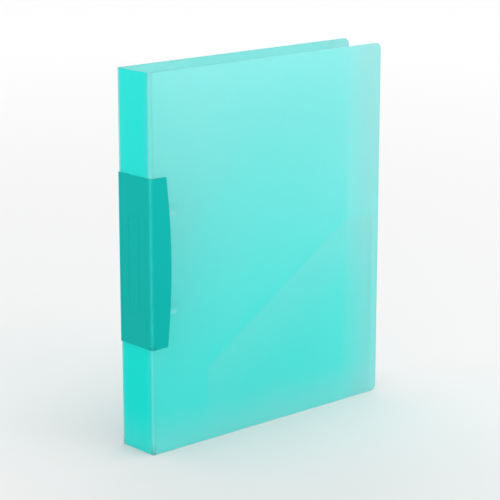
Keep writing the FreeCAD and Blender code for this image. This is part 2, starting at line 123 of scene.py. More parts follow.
class Value:
    """A number socket of a shader tree, whose arithmetic adds Math nodes."""

    def __init__(self, graph: "Graph", socket: bpy.types.NodeSocket) -> None:
        """Wraps a socket of the graph's tree."""
        self.graph, self.socket = graph, socket

    def _math(self, operation: str, *others: Any) -> "Value":
        """Adds one Math node.

        Args:
            operation: The node's operation.
            others: The operands, in order; self stands for this value.

        Returns:
            The node's result.
        """
        node = self.graph.node("ShaderNodeMath", {"operation": operation}, dict(enumerate(others)))
        return Value(self.graph, node.outputs[0])

    def __add__(self, other: Any) -> "Value":
        """This value plus another."""
        return self._math("ADD", self, other)

    __radd__ = __add__

    def __sub__(self, other: Any) -> "Value":
        """This value less another."""
        return self._math("SUBTRACT", self, other)

    def __rsub__(self, other: Any) -> "Value":
        """Another value less this one."""
        return self._math("SUBTRACT", other, self)

    def __mul__(self, other: Any) -> "Value":
        """This value times another."""
        return self._math("MULTIPLY", self, other)

    __rmul__ = __mul__

    def __pow__(self, other: Any) -> "Value":
        """This value to a power."""
        return self._math("POWER", self, other)

    def least(self, other: Any) -> "Value":
        """The lesser of this value and another."""
        return self._math("MINIMUM", self, other)

    def most(self, other: Any) -> "Value":
        """The greater of this value and another."""
        return self._math("MAXIMUM", self, other)

    def size(self) -> "Value":
        """This value without its sign."""
        return self._math("ABSOLUTE", self)

    def ramp(self, low: float, high: float, first: float = 0.0, last: float = 1.0) -> "Value":
        """Goes smoothly from first to last as this value goes from low to high.

        Args:
            low: Where the change starts.
            high: Where it ends.
            first: The result at and below low.
            last: The result at and above high.

        Returns:
            The changed value.
        """
        settings = {"interpolation_type": "SMOOTHSTEP", "clamp": True}
        inputs = {"Value": self, "From Min": low, "From Max": high, "To Min": first, "To Max": last}
        return Value(self.graph, self.graph.node("ShaderNodeMapRange", settings, inputs).outputs[0])


class Tree:
    """A node tree, with one method that adds any node."""

    def __init__(self, tree: bpy.types.NodeTree) -> None:
        """Takes the tree to add to."""
        self.tree = tree

    def node(
        self, kind: str, settings: dict[str, Any] | None = None, inputs: dict[Any, Any] | None = None,
    ) -> bpy.types.Node:
        """Adds a node.

        Args:
            kind: The node's type.
            settings: Its own properties, set first.
            inputs: Values or links of its sockets, by name or number.

        Returns:
            The new node.
        """
        node = self.tree.nodes.new(kind)
        for key, value in (settings or {}).items():
            setattr(node, key, value)
        for key, value in (inputs or {}).items():
            socket = node.inputs[key]
            if isinstance(value, Value):
                value = value.socket
            if isinstance(value, bpy.types.NodeSocket):
                self.tree.links.new(value, socket)
            elif isinstance(value, tuple) and len(value) == 3 and socket.type == "RGBA":
                socket.default_value = (*value, 1.0)
            else:
                socket.default_value = value
        return node


class Graph(Tree):
    """One material's node tree."""

    def __init__(self, name: str) -> None:
        """Makes a material with an empty tree and an output.

        Args:
            name: The material's name.
        """
        self.material = bpy.data.materials.new(name)
        self.material.use_nodes = True
        super().__init__(self.material.node_tree)
        self.tree.nodes.clear()
        self.output = self.node("ShaderNodeOutputMaterial")

    def place(self) -> bpy.types.NodeSocket:
        """The point on the piece, in metres in its own frame."""
        return self.node("ShaderNodeTexCoord").outputs["Object"]

    def axes(self) -> tuple[Value, Value, Value]:
        """The three coordinates of the point on the piece, in metres."""
        parts = self.node("ShaderNodeSeparateXYZ", None, {0: self.place()})
        return Value(self, parts.outputs[0]), Value(self, parts.outputs[1]), Value(self, parts.outputs[2])

    def stretched(self, scale: Sequence[float], turn: Sequence[float]) -> bpy.types.NodeSocket:
        """The point on the piece, scaled along each axis after a turn.

        Args:
            scale: Repeats per metre along X, Y and Z.
            turn: The turn about X, Y and Z, in radians.

        Returns:
            A vector socket.
        """
        inputs = {"Vector": self.place(), "Scale": tuple(scale), "Rotation": tuple(turn)}
        return self.node("ShaderNodeMapping", None, inputs).outputs[0]

    def noise(
        self, scale: Sequence[float], detail: float = 2.0, rough: float = 0.5,
        turn: Sequence[float] = (0.0, 0.0, 0.0),
    ) -> Value:
        """Soft noise about 0.5.

        Args:
            scale: Repeats per metre along X, Y and Z.
            detail: How many finer layers it has.
            rough: How strong those layers are.
            turn: The turn of its axes.

        Returns:
            The noise as a number.
        """
        inputs = {"Vector": self.stretched(scale, turn), "Scale": 1.0, "Detail": detail, "Roughness": rough}
        return Value(self, self.node("ShaderNodeTexNoise", None, inputs).outputs[0])

    def grains(self, scale: float) -> Value:
        """The distance to the nearest of many scattered points, from 0 at a point."""
        inputs = {"Vector": self.place(), "Scale": scale}
        return Value(self, self.node("ShaderNodeTexVoronoi", {"feature": "F1"}, inputs).outputs[0])

    def blend(self, share: Any, first: Any, second: Any) -> bpy.types.NodeSocket:
        """Mixes two colours.

        Args:
            share: How much of the second.
            first: The first colour.
            second: The second colour.

        Returns:
            A colour socket.
        """
        node = self.node("ShaderNodeMix", {"data_type": "RGBA"}, {"Factor": share})
        for number, colour in ((6, first), (7, second)):
            if isinstance(colour, bpy.types.NodeSocket):
                self.tree.links.new(colour, node.inputs[number])
            else:
                node.inputs[number].default_value = (*colour, 1.0)
        return node.outputs[2]

    def relief(
        self, height: Value, distance: float, strength: float, under: bpy.types.NodeSocket | None = None,
    ) -> bpy.types.NodeSocket:
        """A bumped normal.

        Args:
            height: The relief, from 0 to 1.
            distance: What a height of 1 stands for, in metres.
            strength: How strongly it shows.
            under: A normal that it is laid on.

        Returns:
            A normal socket.
        """
        inputs = {"Height": height, "Distance": distance, "Strength": strength}
        if under is not None:
            inputs["Normal"] = under
        return self.node("ShaderNodeBump", None, inputs).outputs[0]

    def mark(self, name: str) -> Value:
        """An attribute of the mesh as a number."""
        node = self.node("ShaderNodeAttribute", {"attribute_name": name})
        return Value(self, node.outputs["Fac"])

    def shade(self, first: bpy.types.Node, second: bpy.types.Node, share: Any) -> bpy.types.Node:
        """Mixes two shaders by the share of the second."""
        return self.node("ShaderNodeMixShader", None, {0: share, 1: first.outputs[0], 2: second.outputs[0]})

    def close(self, shader: bpy.types.Node) -> bpy.types.Material:
        """Joins the shader to the output and returns the material."""
        self.tree.links.new(shader.outputs[0], self.output.inputs["Surface"])
        return self.material


# ---------------------------------------------------------------- finishes


@dataclass(frozen=True)
class PaintedPocketLight:
    """Painted light where a film lies behind a sheet: paler over the film, with a painted soft shadow above
    its mouth, and a painted highlight and a painted shadow for each of the two wires that come near the
    sheet.
    """

    start: float
    end: float
    turn: float
    low: float
    high: float
    share: float
    spots: tuple[tuple[float, float], tuple[float, float]]
    ring_highlight: Colour = (0.62, 0.95, 0.98)
    ring_shadow: Colour = (0.12, 0.60, 0.56)
    ring_highlight_share: float = 0.45
    ring_shadow_share: float = 0.3
    shadow_share: float = 0.35
    # In millimetres: softness of the film's edges, reach of its painted shadow and of the painted paler part
    # under its mouth, and how high above its spot and how tall the painted highlight and the painted shadow
    # of a wire are.
    soft: float = 1.2
    shadow_reach: float = 14.0
    fade_reach: float = 75.0
    ring_highlight_extent: tuple[float, float] = (-1.0, 2.2)
    ring_shadow_extent: tuple[float, float] = (5.0, 3.4)

    def veil(self, x: Value, z: Value) -> Value:
        """How much paler the sheet is painted at a point: painted light over the film behind it.

        Args:
            x: The point's X in metres.
            z: The point's Z in metres.

        Returns:
            A share of the veil colour, a little below zero in the film's soft shadow.
        """
        slope = (self.high - self.low) / (self.turn - self.start)
        left, right = at(self.start, 0, 0).x, at(self.end, 0, 0).x
        mouth = ((x - left) * slope + self.low * MM).least(self.high * MM)
        below = (mouth - z).ramp(-self.soft * MM, self.soft * MM)
        inside = below * (x - left).ramp(-MM, MM) * (right - x).ramp(-MM, MM)
        shadow = (mouth - z).ramp(-self.shadow_reach * MM, 0.0) * (1.0 - below)
        shadow = shadow * (x - left).ramp(-4 * MM, 6 * MM)
        fade = (mouth - z).ramp(0.0, self.fade_reach * MM, 1.0, 0.15)
        return inside * fade * self.share - shadow * (self.share * self.shadow_share)

    def ring_light_mask(self, g: Graph, rise: float, size: float) -> Value:
        """Where the painted light of each wire lies on the sheet: its painted highlight or its painted
        shadow, by the rise and size given.

        Args:
            g: The material's graph.
            rise: How far above its spot each mark is, in millimetres.
            size: How tall a mark is, in millimetres.

        Returns:
            A share from 0 to 1.
        """
        x, _, z = g.axes()
        first, second = (
            ((x - spot.x) * 0.4).size().most((z - spot.z).size()).ramp(0.3 * MM, size * MM, 1.0, 0.0)
            for spot in (at(across, 0, up + rise) for across, up in self.spots)
        )
        return first.most(second)


@dataclass(frozen=True)
class Polypropylene:
    """Frosted translucent sheet: fine grain, faint flow lines, cut edges with a painted highlight, folds
    with whitening and a painted highlight, and painted light towards its top and open edges.
    """

    name: str
    # Colours of the sheet, its haze and painted light, its cut edges with a painted highlight, its folds
    # with whitening and a painted highlight, the light that soaks through it and the light that passes
    # straight through.
    tint: Colour
    veil: Colour
    rim: Colour
    crease: Colour
    light: Colour
    straight: Colour
    # Shares of soaked light and of clear sheet, outside and inside; grain is in millimetres.
    glow: float
    clear: float
    clear_inside: float
    rough: float
    grain: float
    gloss: float
    # Haze all over; painted light towards the top, along the lower edge and in the fore-edge strip, where
    # light comes in round the open edges; and paler along the sides.
    haze: float = 0.0
    painted_light_up: float = 0.0
    painted_light_low: float = 0.0
    side_paling: float = 0.0
    painted_light_fore: float = 0.0
    fore: Colour = (0.62, 0.36, 0.42)
    # Where each of those starts and ends, in metres.
    up_span: tuple[float, float] = (0.03, 0.33)
    low_span: tuple[float, float] = (0.0, 0.04)
    side_span: tuple[float, float] = (0.011, 0.019)
    fore_span: tuple[float, float] = (0.080, 0.120)
    # Painted light of a film behind the sheet and of the ring wires near it, if any.
    painted_pocket_light: PaintedPocketLight | None = None

    def haze_and_painted_light(self, g: Graph) -> Value:
        """How much of the veil colour shows at a point of the sheet.

        Args:
            g: The material's graph.

        Returns:
            A share from 0 to 1.
        """
        x, y, z = g.axes()
        cloud = g.noise((9, 9, 6), detail=3, rough=0.55).ramp(0.3, 0.75, -0.03, 0.05)
        flow = g.noise((260, 260, 2.5), detail=2).ramp(0.35, 0.7, -0.01, 0.02)
        veil = cloud + flow + self.haze
        # Painted light towards the top and along the lower edge; then paler along the sides.
        if self.painted_light_up:
            veil = veil + z.ramp(*self.up_span) * self.painted_light_up
        if self.painted_light_low:
            veil = veil + z.ramp(*self.low_span, self.painted_light_low, 0.0)
        if self.side_paling:
            veil = veil + y.size().ramp(*self.side_span) * self.side_paling
        if self.painted_pocket_light:
            veil = veil + self.painted_pocket_light.veil(x, z)
        return veil.most(0.0).least(1.0)

    def material(self) -> bpy.types.Material:
        """Builds the finish.

        Returns:
            The node material.
        """
        g = Graph(self.name)
        bend, rim, inner = g.mark("bend"), g.mark("rim"), g.mark("inner")
        colour = g.blend(self.haze_and_painted_light(g), self.tint, self.veil)
        # Painted light: the fore-edge strip painted greyer and paler, where light shines through from
        # behind.
        if self.painted_light_fore:
            colour = g.blend(g.axes()[0].ramp(*self.fore_span) * self.painted_light_fore, colour, self.fore)
        if self.painted_pocket_light:
            # Painted highlight, then painted shadow, of each ring wire seen through the sheet.
            ring_light = self.painted_pocket_light
            colour = g.blend(ring_light.ring_light_mask(g, *ring_light.ring_highlight_extent) * ring_light.ring_highlight_share, colour, ring_light.ring_highlight)
            colour = g.blend(ring_light.ring_light_mask(g, *ring_light.ring_shadow_extent) * ring_light.ring_shadow_share, colour, ring_light.ring_shadow)
        # Folds painted paler: whitening streaks of the bent sheet and a painted highlight along the bend.
        streaks = g.noise((900, 900, 90), detail=2).ramp(0.35, 0.65, 0.55, 1.0)
        colour = g.blend(bend * streaks, colour, self.crease)
        # Cut edges painted paler as a painted highlight.
        colour = g.blend(rim * 0.8, colour, self.rim)
        sand = g.grains(1500.0)
        skin = g.noise((420, 420, 420), detail=2)
        scratch = g.noise((700, 700, 26), detail=1, turn=(0.4, 0.7, 0.2)).ramp(0.71, 0.76)
        relief = g.relief((sand * 0.7 + skin * 0.6) * (1.0 - inner * 0.8), self.grain * MM, 0.55)
        relief = g.relief(scratch, 0.004 * MM, 0.5, relief)
        rough = g.noise((35, 35, 20), detail=2) * 0.12 + scratch * 0.1 + (self.rough - 0.06)
        body = g.node("ShaderNodeBsdfPrincipled", None, {
            "Base Color": colour, "Roughness": rough - rim * 0.12, "IOR": 1.49,
            "Specular IOR Level": self.gloss, "Normal": relief,
        })
        through = g.node("ShaderNodeBsdfTranslucent", None, {"Color": self.light, "Normal": relief})
        straight = g.node("ShaderNodeBsdfTransparent", None, {"Color": self.straight})
        sheet = g.shade(body, through, self.glow)
        mottle = g.noise((9, 9, 6), detail=3, rough=0.55).ramp(0.25, 0.8, 0.9, 1.1)
        clear = (inner * (self.clear_inside - self.clear) + self.clear) * mottle * (1.0 - rim)
        return g.close(g.shade(sheet, straight, clear))


@dataclass(frozen=True)
class PocketFilm:
    """Thin clear film: glossy, faintly tinted and milky, with a paler weld and a bright cut mouth."""

    name: str
    tint: Colour
    weld: Colour
    light: Colour
    glow: float
    clear: float

    def material(self) -> bpy.types.Material:
        """Builds the finish.

        Returns:
            The node material.
        """
        g = Graph(self.name)
        weld, rim = g.mark("weld"), g.mark("rim")
        ripple = g.noise((45, 45, 30), detail=2)
        fine = g.noise((300, 300, 300), detail=2)
        colour = g.blend(rim, g.blend(weld, self.tint, self.weld), self.weld)
        relief = g.relief(ripple, 0.25 * MM, 0.3)
        relief = g.relief(fine, 0.004 * MM, 0.3, relief)
        body = g.node("ShaderNodeBsdfPrincipled", None, {
            "Base Color": colour, "Roughness": fine * 0.1 + weld * 0.2 + 0.12, "IOR": 1.5,
            "Normal": relief,
        })
        through = g.node("ShaderNodeBsdfTranslucent", None, {"Color": self.light, "Normal": relief})
        straight = g.node("ShaderNodeBsdfTransparent", None, {"Color": (0.93, 0.99, 0.98)})
        clear = (1.0 - weld * 0.35 - rim * 0.5) * self.clear * ripple.ramp(0.2, 0.8, 0.95, 1.05)
        milky = g.shade(body, through, self.glow)
        return g.close(g.shade(milky, straight, clear.least(0.97)))


class Work(Enum):
    """How a steel surface was finished."""

    BRIGHT = "bright nickel over drawn wire"
    PRESSED = "bright nickel over pressed strip"
    DULL = "dull zinc"


@dataclass(frozen=True)
class PlatedSteel:
    """Plated steel: drawing or rolling lines, hairline scratches, dull patches and faint stains."""

    name: str
    work: Work
    colour: Colour
    stain: Colour
    rough: float

    def material(self) -> bpy.types.Material:
        """Builds the finish.

        Returns:
            The node material.
        """
        g = Graph(self.name)
        along = {Work.BRIGHT: (900, 900, 900), Work.PRESSED: (2600, 2600, 40), Work.DULL: (1500, 1500, 60)}
        lines = g.noise(along[self.work], detail=2)
        patch = g.noise((120, 120, 70), detail=4, rough=0.6)
        hair = g.noise((3200, 3200, 110), detail=1, turn=(0.5, 0.2, 0.9)).ramp(0.70, 0.74)
        dull = patch.ramp(0.5, 0.8)
        colour = g.blend(dull * 0.2, self.colour, self.stain)
        rough = lines * 0.08 + dull * 0.12 + hair * 0.15 + (self.rough - 0.04)
        relief = g.relief(lines, 0.006 * MM, 0.5)
        relief = g.relief(hair, 0.004 * MM, 0.6, relief)
        if self.work is Work.DULL:
            relief = g.relief(g.grains(2200.0), 0.02 * MM, 0.5, relief)
        body = g.node("ShaderNodeBsdfPrincipled", None, {
            "Base Color": colour, "Metallic": 1.0, "Roughness": rough, "Normal": relief,
        })
        return g.close(body)


class Finishes:
    """Every finish of the binder, each built once."""

    def __init__(self) -> None:
        """Builds the materials."""
        # The front cover, the back cover and the spine are one folded sheet: their different tints, veils,
        # haze and soaked-light colours are painted light, set to how each face looks under the lamps.
        cover = Polypropylene(
            "front cover sheet", tint=(0.045, 0.85, 0.795), veil=(0.53, 0.765, 0.765),
            rim=(0.45, 0.72, 0.70), crease=(0.22, 0.90, 0.85), light=(0.47, 0.97, 0.95),
            straight=(0.72, 0.99, 0.985), glow=0.42, clear=0.11, clear_inside=0.62,
            rough=0.42, grain=0.02, gloss=0.25, haze=0.085, painted_light_up=0.46, painted_light_low=0.25, painted_light_fore=0.26,
            painted_pocket_light=PaintedPocketLight(
                start=59.0, end=250.0, turn=216.0, low=64.0, high=164.0, share=0.13,
                spots=((22.3, 119.4), (22.3, 200.6)),
            ),
        )
        self.front = cover.material()
        self.back = replace(
            cover, name="back cover sheet", tint=(0.045, 0.79, 0.745), veil=(0.60, 0.77, 0.77),
            light=(0.47, 0.95, 0.93), glow=0.38, haze=0.20, painted_light_up=0.50, painted_light_fore=0.2, painted_pocket_light=None,
        ).material()
        self.spine = Polypropylene(
            "spine sheet", tint=(0.0, 0.785, 0.705), veil=(0.16, 0.825, 0.805), rim=(0.30, 0.80, 0.76),
            crease=(0.20, 0.90, 0.84), light=(0.12, 0.97, 0.93), straight=(0.4, 0.97, 0.94),
            glow=0.30, clear=0.06, clear_inside=0.3, rough=0.42, grain=0.02, gloss=0.12,
            painted_light_up=0.16, painted_light_low=0.35, side_paling=0.2,
        ).material()
        self.band = Polypropylene(
            "band sheet", tint=(0.0, 0.43, 0.385), veil=(0.002, 0.52, 0.48), rim=(0.01, 0.52, 0.48),
            crease=(0.03, 0.62, 0.56), light=(0.0, 0.58, 0.53), straight=(0.0, 0.6, 0.5),
            glow=0.08, clear=0.0, clear_inside=0.0, rough=0.46, grain=0.03, gloss=0.06,
            haze=0.05, painted_light_up=0.35,
        ).material()
        self.film = PocketFilm(
            "pocket film", tint=(0.34, 0.91, 0.88), weld=(0.64, 0.97, 0.95), light=(0.86, 0.99, 0.98),
            glow=0.75, clear=0.62,
        ).material()
        self.wire = PlatedSteel(
            "ring wire", Work.BRIGHT, (0.74, 0.73, 0.70), (0.48, 0.46, 0.43), 0.16,
        ).material()
        self.strip = PlatedSteel(
            "housing strip", Work.PRESSED, (0.72, 0.71, 0.68), (0.46, 0.44, 0.41), 0.22,
        ).material()
        self.zinc = PlatedSteel(
            "zinc plate", Work.DULL, (0.52, 0.53, 0.55), (0.36, 0.37, 0.37), 0.42,
        ).material()
        self.rivet = PlatedSteel(
            "rivet", Work.PRESSED, (0.70, 0.69, 0.66), (0.45, 0.43, 0.40), 0.25,
        ).material()


# ---------------------------------------------------------------- mesh helpers


def finished(name: str, mesh: bpy.types.Mesh, material: bpy.types.Material) -> bpy.types.Object:
    """Links a mesh as a piece at the origin.

    Args:
        name: The piece's name.
        mesh: Its mesh, in metres in the row frame.
        material: Its finish.

    Returns:
        The new object.
    """
    mesh.name = name
    piece = bpy.data.objects.new(name, mesh)
    bpy.context.scene.collection.objects.link(piece)
    if not mesh.materials:
        mesh.materials.append(material)
    else:
        mesh.materials[0] = material
    LOG.info("%s: %d faces", name, len(mesh.polygons))
    return piece


def baked(piece: bpy.types.Object) -> bpy.types.Object:
    """Turns a piece's modifiers into its plain mesh.

    Args:
        piece: An object with modifiers.

    Returns:
        The same object without them.
    """
    bpy.context.view_layer.update()
    graph = bpy.context.evaluated_depsgraph_get()
    mesh = bpy.data.meshes.new_from_object(
        piece.evaluated_get(graph), preserve_all_data_layers=True, depsgraph=graph
    )
    piece.modifiers.clear()
    old, piece.data = piece.data, mesh
    mesh.name = piece.name
    bpy.data.meshes.remove(old)
    return piece


def mark_faces(mesh: bpy.types.Mesh, name: str, shares: Iterable[float]) -> None:
    """Writes one number for each face, which a finish reads."""
    layer = mesh.attributes.new(name, "FLOAT", "FACE")
    layer.data.foreach_set("value", list(shares))


def mark_points(mesh: bpy.types.Mesh, name: str, shares: Iterable[float]) -> None:
    """Writes one number for each vertex, which a finish reads."""
    layer = mesh.attributes.new(name, "FLOAT", "POINT")
    layer.data.foreach_set("value", list(shares))


def soften(
    node: str, name: str, material: bpy.types.Material, width: float,
    joined: Sequence[tuple[int, int]] = (), gap: float = 0.0,
) -> bpy.types.Object:
    """Makes a piece from a flat CAD node, with its cut edges rounded over.

    Args:
        node: The CAD node that the piece stands for.
        name: The piece's name.
        material: Its finish.
        width: Width of the rounding, in millimetres.
        joined: The sides of its box where the sheet goes on into a fold, as (axis, 0 low or 1 high).
        gap: How far its inner face stands off the sheet that it lies on, in millimetres.

    Returns:
        The piece, riding on nothing yet.
    """
    shape = bmesh.new()
    shape.from_mesh(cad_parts[node].data)
    bmesh.ops.remove_doubles(shape, verts=shape.verts, dist=SAME_PLACE)
    bmesh.ops.dissolve_limit(
        shape, angle_limit=math.radians(1.0), verts=shape.verts, edges=shape.edges,
        use_dissolve_boundaries=False,
    )
    broad = max(shape.faces, key=lambda face: face.calc_area()).normal.copy()
    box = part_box(node)
    inward = (sum(CAD_BOX, Vector()) - sum(box, Vector())) / 2
    if inward.dot(broad) < 0:
        broad.negate()
    deep = max(v.co.dot(broad) for v in shape.verts)
    for v in shape.verts:
        if deep - v.co.dot(broad) < SAME_PLACE:
            v.co -= broad * gap * MM

    def kept(edge: bmesh.types.BMEdge) -> bool:
        """True for an edge at a side where the sheet goes on into a fold."""
        return any(
            all(abs(v.co[axis] - box[side][axis]) < SAME_PLACE for v in edge.verts) for axis, side in joined
        )

    sharp = [
        e for e in shape.edges
        if len(e.link_faces) == 2 and e.calc_face_angle(0.0) > SHARP_EDGE and not kept(e)
    ]
    bmesh.ops.bevel(
        shape, geom=sharp, offset=width * MM, offset_type="OFFSET", segments=2, profile=0.6,
        affect="EDGES", clamp_overlap=True,
    )
    for face in shape.faces:
        face.smooth = True
    bmesh.ops.recalc_face_normals(shape, faces=shape.faces)
    flat = [abs(face.normal.dot(broad)) > FLAT_FACE for face in shape.faces]
    rims = [0.0 if level else 1.0 for level in flat]
    inner = [
        1.0 if level and face.normal.dot(inward) > 0 else 0.0 for level, face in zip(flat, shape.faces)
    ]
    mesh = bpy.data.meshes.new(name)
    shape.to_mesh(mesh)
    shape.free()
    mark_faces(mesh, "rim", rims)
    mark_faces(mesh, "inner", inner)
    piece = finished(name, mesh, material)
    lean = piece.modifiers.new("lean", "WEIGHTED_NORMAL")
    lean.mode, lean.weight, lean.keep_sharp = "FACE_AREA", 100, False
    baked(piece)
    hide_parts(node)
    return piece


class Recipe(Tree):
    """A Geometry Nodes tree with named inputs."""

    def __init__(self, name: str) -> None:
        """Makes an empty tree that takes and gives geometry.

        Args:
            name: The tree's name.
        """
        super().__init__(bpy.data.node_groups.new(name, "GeometryNodeTree"))
        self.tree.interface.new_socket("Geometry", in_out="INPUT", socket_type="NodeSocketGeometry")
        self.tree.interface.new_socket("Geometry", in_out="OUTPUT", socket_type="NodeSocketGeometry")
        self.start = self.node("NodeGroupInput")
        self.end = self.node("NodeGroupOutput")
        self.keys: dict[str, str] = {}

    def ask(self, name: str, kind: str, value: Any) -> bpy.types.NodeSocket:
        """Adds a named input.

        Args:
            name: Its name.
            kind: Its socket's type, such as NodeSocketFloat.
            value: Its default.

        Returns:
            The socket that gives it inside the tree.
        """
        item = self.tree.interface.new_socket(name, in_out="INPUT", socket_type=kind)
        if value is not None:
            item.default_value = value
        self.keys[name] = item.identifier
        return self.start.outputs[name]

    def close(self, geometry: bpy.types.NodeSocket) -> None:
        """Realizes the instances, sets the finish and ends the tree.

        Args:
            geometry: What the tree has made.
        """
        finish = self.ask("Finish", "NodeSocketMaterial", None)
        real = self.node("GeometryNodeRealizeInstances", None, {0: geometry})
        dressed = self.node(
            "GeometryNodeSetMaterial", None, {"Geometry": real.outputs[0], "Material": finish}
        )
        self.tree.links.new(dressed.outputs[0], self.end.inputs[0])

    def make(
        self, name: str, mesh: bpy.types.Mesh, material: bpy.types.Material, **values: Any
    ) -> bpy.types.Object:
        """Runs the tree on a mesh and keeps the result as a plain mesh.

        Args:
            name: The piece's name.
            mesh: What the tree starts from.
            material: The piece's finish.
            values: The named inputs that differ from their defaults.

        Returns:
            The piece, riding on nothing yet.
        """
        piece = finished(name, mesh, material)
        modifier = piece.modifiers.new("recipe", "NODES")
        modifier.node_group = self.tree
        modifier[self.keys["Finish"]] = material
        for key, value in values.items():
            modifier[self.keys[key]] = value
        baked(piece)
        LOG.info("%s: %d faces from its recipe", name, len(piece.data.polygons))
        return piece


def path_mesh(name: str, points: Sequence[Vector]) -> bpy.types.Mesh:
    """A mesh of one open line of edges.

    Args:
        name: The mesh's name.
        points: The points that the line joins.

    Returns:
        The mesh.
    """
    mesh = bpy.data.meshes.new(name)
    mesh.from_pydata([tuple(p) for p in points], [(n, n + 1) for n in range(len(points) - 1)], [])
    return mesh


# ---------------------------------------------------------------- sub-assemblies

SPINE_END = ((0, 0),)
BOTH_SIDES = ((1, 0), (1, 1))


@dataclass
class FoldWeb:
    """A thinned strip of sheet that turns a quarter turn round a hinge axis, as it lies when the binder is
    closed.
    """

    name: str
    node: str
    outer: float
    inner: float
    flat: float
    low: float
    height: float
    at_back: bool
    spine_width: float = 40.0
    centre: float = 1.2
    steps: int = 14
    flat_steps: int = 5
    rows: int = 30
    # How narrow the paler part of the bend is, which is whitening and a painted highlight.
    crease_narrowing: float = 1.6

    def line(self, radius: float) -> Section:
        """One face of the strip in section, from the spine's side to the cover's side.

        Args:
            radius: The face's distance from the hinge axis where it bends.

        Returns:
            Its points as (x, y), in millimetres.
        """
        c, count = self.centre, self.flat_steps
        points = [(c - radius, c + self.flat * (1 - n / count)) for n in range(count)]
        for n in range(self.steps + 1):
            turn = math.pi + math.pi / 2 * n / self.steps
            points.append((c + radius * math.cos(turn), c + radius * math.sin(turn)))
        points += [(c + self.flat * (n + 1) / count, c - radius) for n in range(count)]
        if self.at_back:
            points = [(x, self.spine_width - y) for x, y in points]
        return points

    def strip(self) -> bpy.types.Mesh:
        """The strip as a closed shell, with the share of its bend marked for the finish.

        Returns:
            The mesh.
        """
        outer, inner = self.line(self.outer), self.line(self.inner)
        loop = outer + inner[::-1]
        half, count = len(outer), len(loop)
        points, faces = [], []
        for row in range(self.rows + 1):
            z = self.low + self.height * row / self.rows
            points += [at(x, y, z) for x, y in loop]
        for row in range(self.rows):
            for n in range(count):
                a, b = row * count + n, row * count + (n + 1) % count
                faces.append((a, b, b + count, a + count))
        for base in (0, self.rows * count):
            for n in range(half - 1):
                faces.append((base + n, base + n + 1, base + count - 2 - n, base + count - 1 - n))
        mesh = bpy.data.meshes.new(self.name)
        mesh.from_pydata([tuple(p) for p in points], [], faces)
        shape = bmesh.new()
        shape.from_mesh(mesh)
        shape.verts.index_update()
        bmesh.ops.recalc_face_normals(shape, faces=shape.faces)
        for face in shape.faces:
            ends = {v.index % count for v in face.verts}
            face.smooth = abs(face.normal.z) < 0.5 and ends not in ({half - 1, half}, {0, count - 1})
        shape.to_mesh(mesh)
        shape.free()
        shares = []
        for n in range(count):
            place = min(n, count - 1 - n)
            share = (place - self.flat_steps) / self.steps
            shares.append(max(0.0, 1.0 - abs(share - 0.5) * self.crease_narrowing))
        mark_points(mesh, "bend", shares * (self.rows + 1))
        return mesh

    def build(self, material: bpy.types.Material, slot: Slot) -> None:
        """Builds the strip.

        Args:
            material: Its finish.
            slot: The material slot it would take its finish from; not used.
        """
        piece = finished(self.name, self.strip(), material)
        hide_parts(self.node)
        c, mid = self.centre, (self.outer + self.inner) / 2
        start, end = (c - mid, c + self.flat), (c + self.flat, c - mid)
        if self.at_back:
            start, end = ((x, self.spine_width - y) for x, y in (start, end))
        z = self.low + self.height / 2
        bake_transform(piece)


@dataclass
class CoverShell:
    """The folded cover: two covers and a spine of one sheet, with a thinned fold beside the spine twice."""

    edge: float = 0.22
    height: float = 315.0
    web: float = 0.4
    flat: float = 1.4
    radius: float = 1.2

    def build(self, finishes: Finishes) -> None:
        """Builds the three panels and the two folds.

        Args:
            finishes: The binder's finishes.
        """
        panels = (
            ("front_cover", Body.FRONT, finishes.front, SPINE_END),
            ("back_cover", Body.BACK, finishes.back, SPINE_END),
            ("spine_panel", Body.SPINE, finishes.spine, BOTH_SIDES),
        )
        for node, body, material, joined in panels:
            piece = soften(node, f"{node}_sheet", material, self.edge, joined)
            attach(piece, body.value)
        for side, material in (("front", finishes.front), ("back", finishes.back)):
            FoldWeb(
                f"{side}_cover_crease", f"{side}_cover_fold", self.radius, self.radius - self.web, self.flat,
                0.0, self.height, side == "back",
            ).build(material, Slot.COVER)


